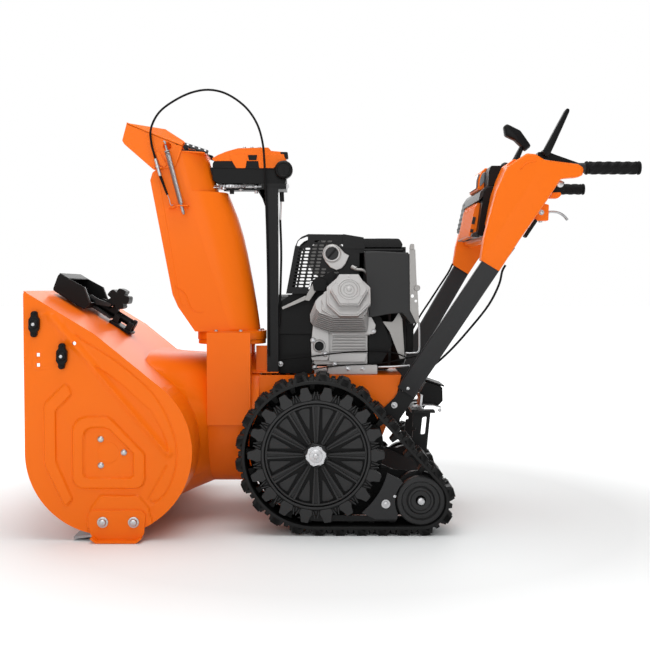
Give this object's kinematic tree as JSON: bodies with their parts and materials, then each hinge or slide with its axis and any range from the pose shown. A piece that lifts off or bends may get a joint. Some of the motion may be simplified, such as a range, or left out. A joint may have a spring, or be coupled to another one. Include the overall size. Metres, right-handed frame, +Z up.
{
  "type": "two stage snowblower",
  "caption": "Walk-behind two stage snowblower on rubber tracks, with turning chute, tilting deflector and paddle clutch levers.",
  "frame": {"origin": "on the ground under the middle of the machine's box", "axes": "+X back to the operator, +Y to the operator's right, +Z up"},
  "size_m": [1.527, 0.775, 1.1459],
  "materials": {
    "orange_paint": "gloss",
    "orange_plastic": "gloss",
    "black_paint": "satin",
    "charcoal_paint": "satin",
    "black_plastic": "satin",
    "charcoal_plastic": "satin",
    "gloss_black": "gloss",
    "zinc": "satin",
    "steel": "satin",
    "cast_aluminium": "satin",
    "cast_iron": "satin",
    "exhaust_steel": "satin",
    "rubber": "matte",
    "tread_rubber": "matte",
    "lamp_lens": "gloss"
  },
  "bodies": {
    "machine": {"housing_shell": "orange_paint", "side_plates": "orange_paint", "impeller_housing": "orange_paint", "chute_neck": "orange_paint", "scraper_blade": "steel", "skid_shoes": "orange_paint", "drift_cutters": "orange_paint", "cutter_knobs": "black_plastic", "auger_bearings": "zinc", "gear_case": "cast_iron", "tool_clips": "black_plastic", "gearbox_case": "black_plastic", "gearbox_cover": "orange_plastic", "chute_post": "black_paint", "control_cables": "rubber", "chassis": "orange_paint", "belt_cover": "black_plastic", "drive_belts": "rubber", "engine": "cast_aluminium", "rocker_cover": "cast_aluminium", "muffler": "exhaust_steel", "muffler_guard": "black_paint", "snow_hood": "charcoal_plastic", "fuel_tank": "gloss_black", "handle_brackets": "black_paint", "handle_tubes": "charcoal_paint", "side_panels": "orange_plastic", "grips": "rubber", "dash_console": "black_plastic", "headlight": "lamp_lens"},
    "auger": {"auger_shaft": "steel", "auger_rakes": "orange_paint"},
    "impeller": {"impeller_shaft": "steel", "impeller": "orange_paint", "impeller_pulley": "steel"},
    "cleanout_tool": {"cleanout_tool": "black_plastic"},
    "chute": {"chute_body": "orange_paint", "chute_gear": "zinc", "hinge_leaves": "black_paint", "deflector_spring": "zinc"},
    "chute_pinion": {"chute_pinion": "zinc"},
    "deflector": {"deflector": "orange_paint"},
    "spring_rod": {"spring_rod": "zinc"},
    "crank": {"crank_pulleys": "steel"},
    "friction_disc": {"friction_disc": "steel"},
    "hex_shaft": {"hex_shaft": "steel"},
    "friction_wheel": {"friction_wheel": "rubber"},
    "axle": {"drive_axle": "zinc", "drive_wheels": "charcoal_plastic"},
    "track_frames": {"track_frames": "charcoal_paint", "rubber_tracks": "tread_rubber"},
    "idlers": {"idlers": "charcoal_plastic"},
    "fuel_cap": {"fuel_cap": "black_plastic"},
    "left_clutch_lever": {"left_clutch_lever": "black_plastic"},
    "right_clutch_lever": {"right_clutch_lever": "black_plastic"},
    "left_trigger": {"left_trigger": "zinc"},
    "right_trigger": {"right_trigger": "zinc"},
    "chute_joystick": {"chute_joystick": "black_plastic"},
    "speed_lever": {"speed_lever": "black_plastic"},
    "mode_pedal": {"mode_pedal": "charcoal_paint"}
  },
  "joints": [
    {"name": "impeller_spin", "type": "hinge", "parent": "machine", "child": "impeller", "pos_m": [-0.28, 0, 0.265], "axis": [1, 0, 0], "continuous": true},
    {"name": "auger_spin", "type": "hinge", "parent": "machine", "child": "auger", "pos_m": [-0.562, 0, 0.219], "axis": [0, 1, 0], "continuous": true},
    {"name": "tool_lift", "type": "slide", "parent": "machine", "child": "cleanout_tool", "axis": [0.521, 0, 0.8536], "range_m": [0, 0.09]},
    {"name": "chute_turn", "type": "hinge", "parent": "machine", "child": "chute", "pos_m": [-0.282, -0.08, 0.5], "axis": [0, 0, 1], "range_deg": [-95, 95], "deforming": ["control_cables"]},
    {"name": "chute_pinion_spin", "type": "hinge", "parent": "machine", "child": "chute_pinion", "pos_m": [-0.216, -0.08, 0.893], "axis": [0, 0, 1], "range_deg": [-323, 323]},
    {"name": "deflector_tilt", "type": "hinge", "parent": "chute", "child": "deflector", "pos_m": [-0.398, -0.08, 0.992], "axis": [0, 1, 0], "range_deg": [-50, 0], "stiffness_Nm_per_rad": 4, "springref_deg": 34.38, "deforming": ["deflector_spring"]},
    {"name": "spring_rod_slide", "type": "slide", "parent": "chute", "child": "spring_rod", "axis": [0.2529, 0, -0.9675], "range_m": [0, 0.04]},
    {"name": "crank_spin", "type": "hinge", "parent": "machine", "child": "crank", "pos_m": [-0.12, 0, 0.478], "axis": [1, 0, 0], "continuous": true},
    {"name": "friction_disc_spin", "type": "hinge", "parent": "machine", "child": "friction_disc", "pos_m": [-0.125, 0, 0.30175], "axis": [1, 0, 0], "continuous": true},
    {"name": "axle_spin", "type": "hinge", "parent": "machine", "child": "axle", "pos_m": [-0.053, 0, 0.203], "axis": [0, 1, 0], "continuous": true},
    {"name": "hex_shaft_spin", "type": "hinge", "parent": "machine", "child": "hex_shaft", "pos_m": [-0.06, 0, 0.30175], "axis": [0, 1, 0], "continuous": true},
    {"name": "friction_wheel_slide", "type": "slide", "parent": "hex_shaft", "child": "friction_wheel", "axis": [0, 1, 0], "range_m": [-0.07, 0.07]},
    {"name": "track_mode", "type": "hinge", "parent": "machine", "child": "track_frames", "pos_m": [-0.053, 0, 0.203], "axis": [0, 1, 0], "range_deg": [-12, 8]},
    {"name": "idler_spin", "type": "hinge", "parent": "track_frames", "child": "idlers", "pos_m": [0.211, 0, 0.0865], "axis": [0, 1, 0], "continuous": true},
    {"name": "fuel_cap_turn", "type": "hinge", "parent": "machine", "child": "fuel_cap", "pos_m": [0.135, 0.06, 0.75], "axis": [0, 0, 1], "range_deg": [0, 90]},
    {"name": "left_clutch_press", "type": "hinge", "parent": "machine", "child": "left_clutch_lever", "pos_m": [0.52, -0.274, 0.963], "axis": [0, 1, 0], "range_deg": [0, 60], "stiffness_Nm_per_rad": 0.5, "springref_deg": -22.92},
    {"name": "right_clutch_press", "type": "hinge", "parent": "machine", "child": "right_clutch_lever", "pos_m": [0.52, 0.274, 0.963], "axis": [0, 1, 0], "range_deg": [0, 60], "stiffness_Nm_per_rad": 0.5, "springref_deg": -22.92},
    {"name": "left_trigger_squeeze", "type": "hinge", "parent": "machine", "child": "left_trigger", "pos_m": [0.532, -0.24, 0.812], "axis": [0, 1, 0], "range_deg": [-22, 0], "stiffness_Nm_per_rad": 0.3, "springref_deg": 22.92},
    {"name": "right_trigger_squeeze", "type": "hinge", "parent": "machine", "child": "right_trigger", "pos_m": [0.532, 0.24, 0.812], "axis": [0, 1, 0], "range_deg": [-22, 0], "stiffness_Nm_per_rad": 0.3, "springref_deg": 22.92},
    {"name": "joystick_swing", "type": "hinge", "parent": "machine", "child": "chute_joystick", "pos_m": [0.47, -0.05, 0.905], "axis": [0, 1, 0], "range_deg": [-12, 12]},
    {"name": "speed_select", "type": "hinge", "parent": "machine", "child": "speed_lever", "pos_m": [0.47, 0.09, 0.9], "axis": [0, 1, 0], "range_deg": [-15, 15]},
    {"name": "mode_pedal_press", "type": "hinge", "parent": "machine", "child": "mode_pedal", "pos_m": [0.23, 0, 0.282], "axis": [0, 1, 0], "range_deg": [0, 15], "stiffness_Nm_per_rad": 6, "springref_deg": -17.19}
  ],
  "couplings": [
    {"joint": "auger_spin", "follows": "impeller_spin", "ratio": 0.1},
    {"joint": "chute_pinion_spin", "follows": "chute_turn", "ratio": -3.4},
    {"joint": "spring_rod_slide", "follows": "deflector_tilt", "m_per_rad": -0.0425},
    {"joint": "friction_disc_spin", "follows": "crank_spin", "ratio": 0.6952},
    {"joint": "hex_shaft_spin", "follows": "axle_spin", "ratio": -4.5},
    {"joint": "friction_wheel_slide", "follows": "speed_select", "m_per_rad": 0.24},
    {"joint": "idler_spin", "follows": "axle_spin", "ratio": 2.864}
  ]
}
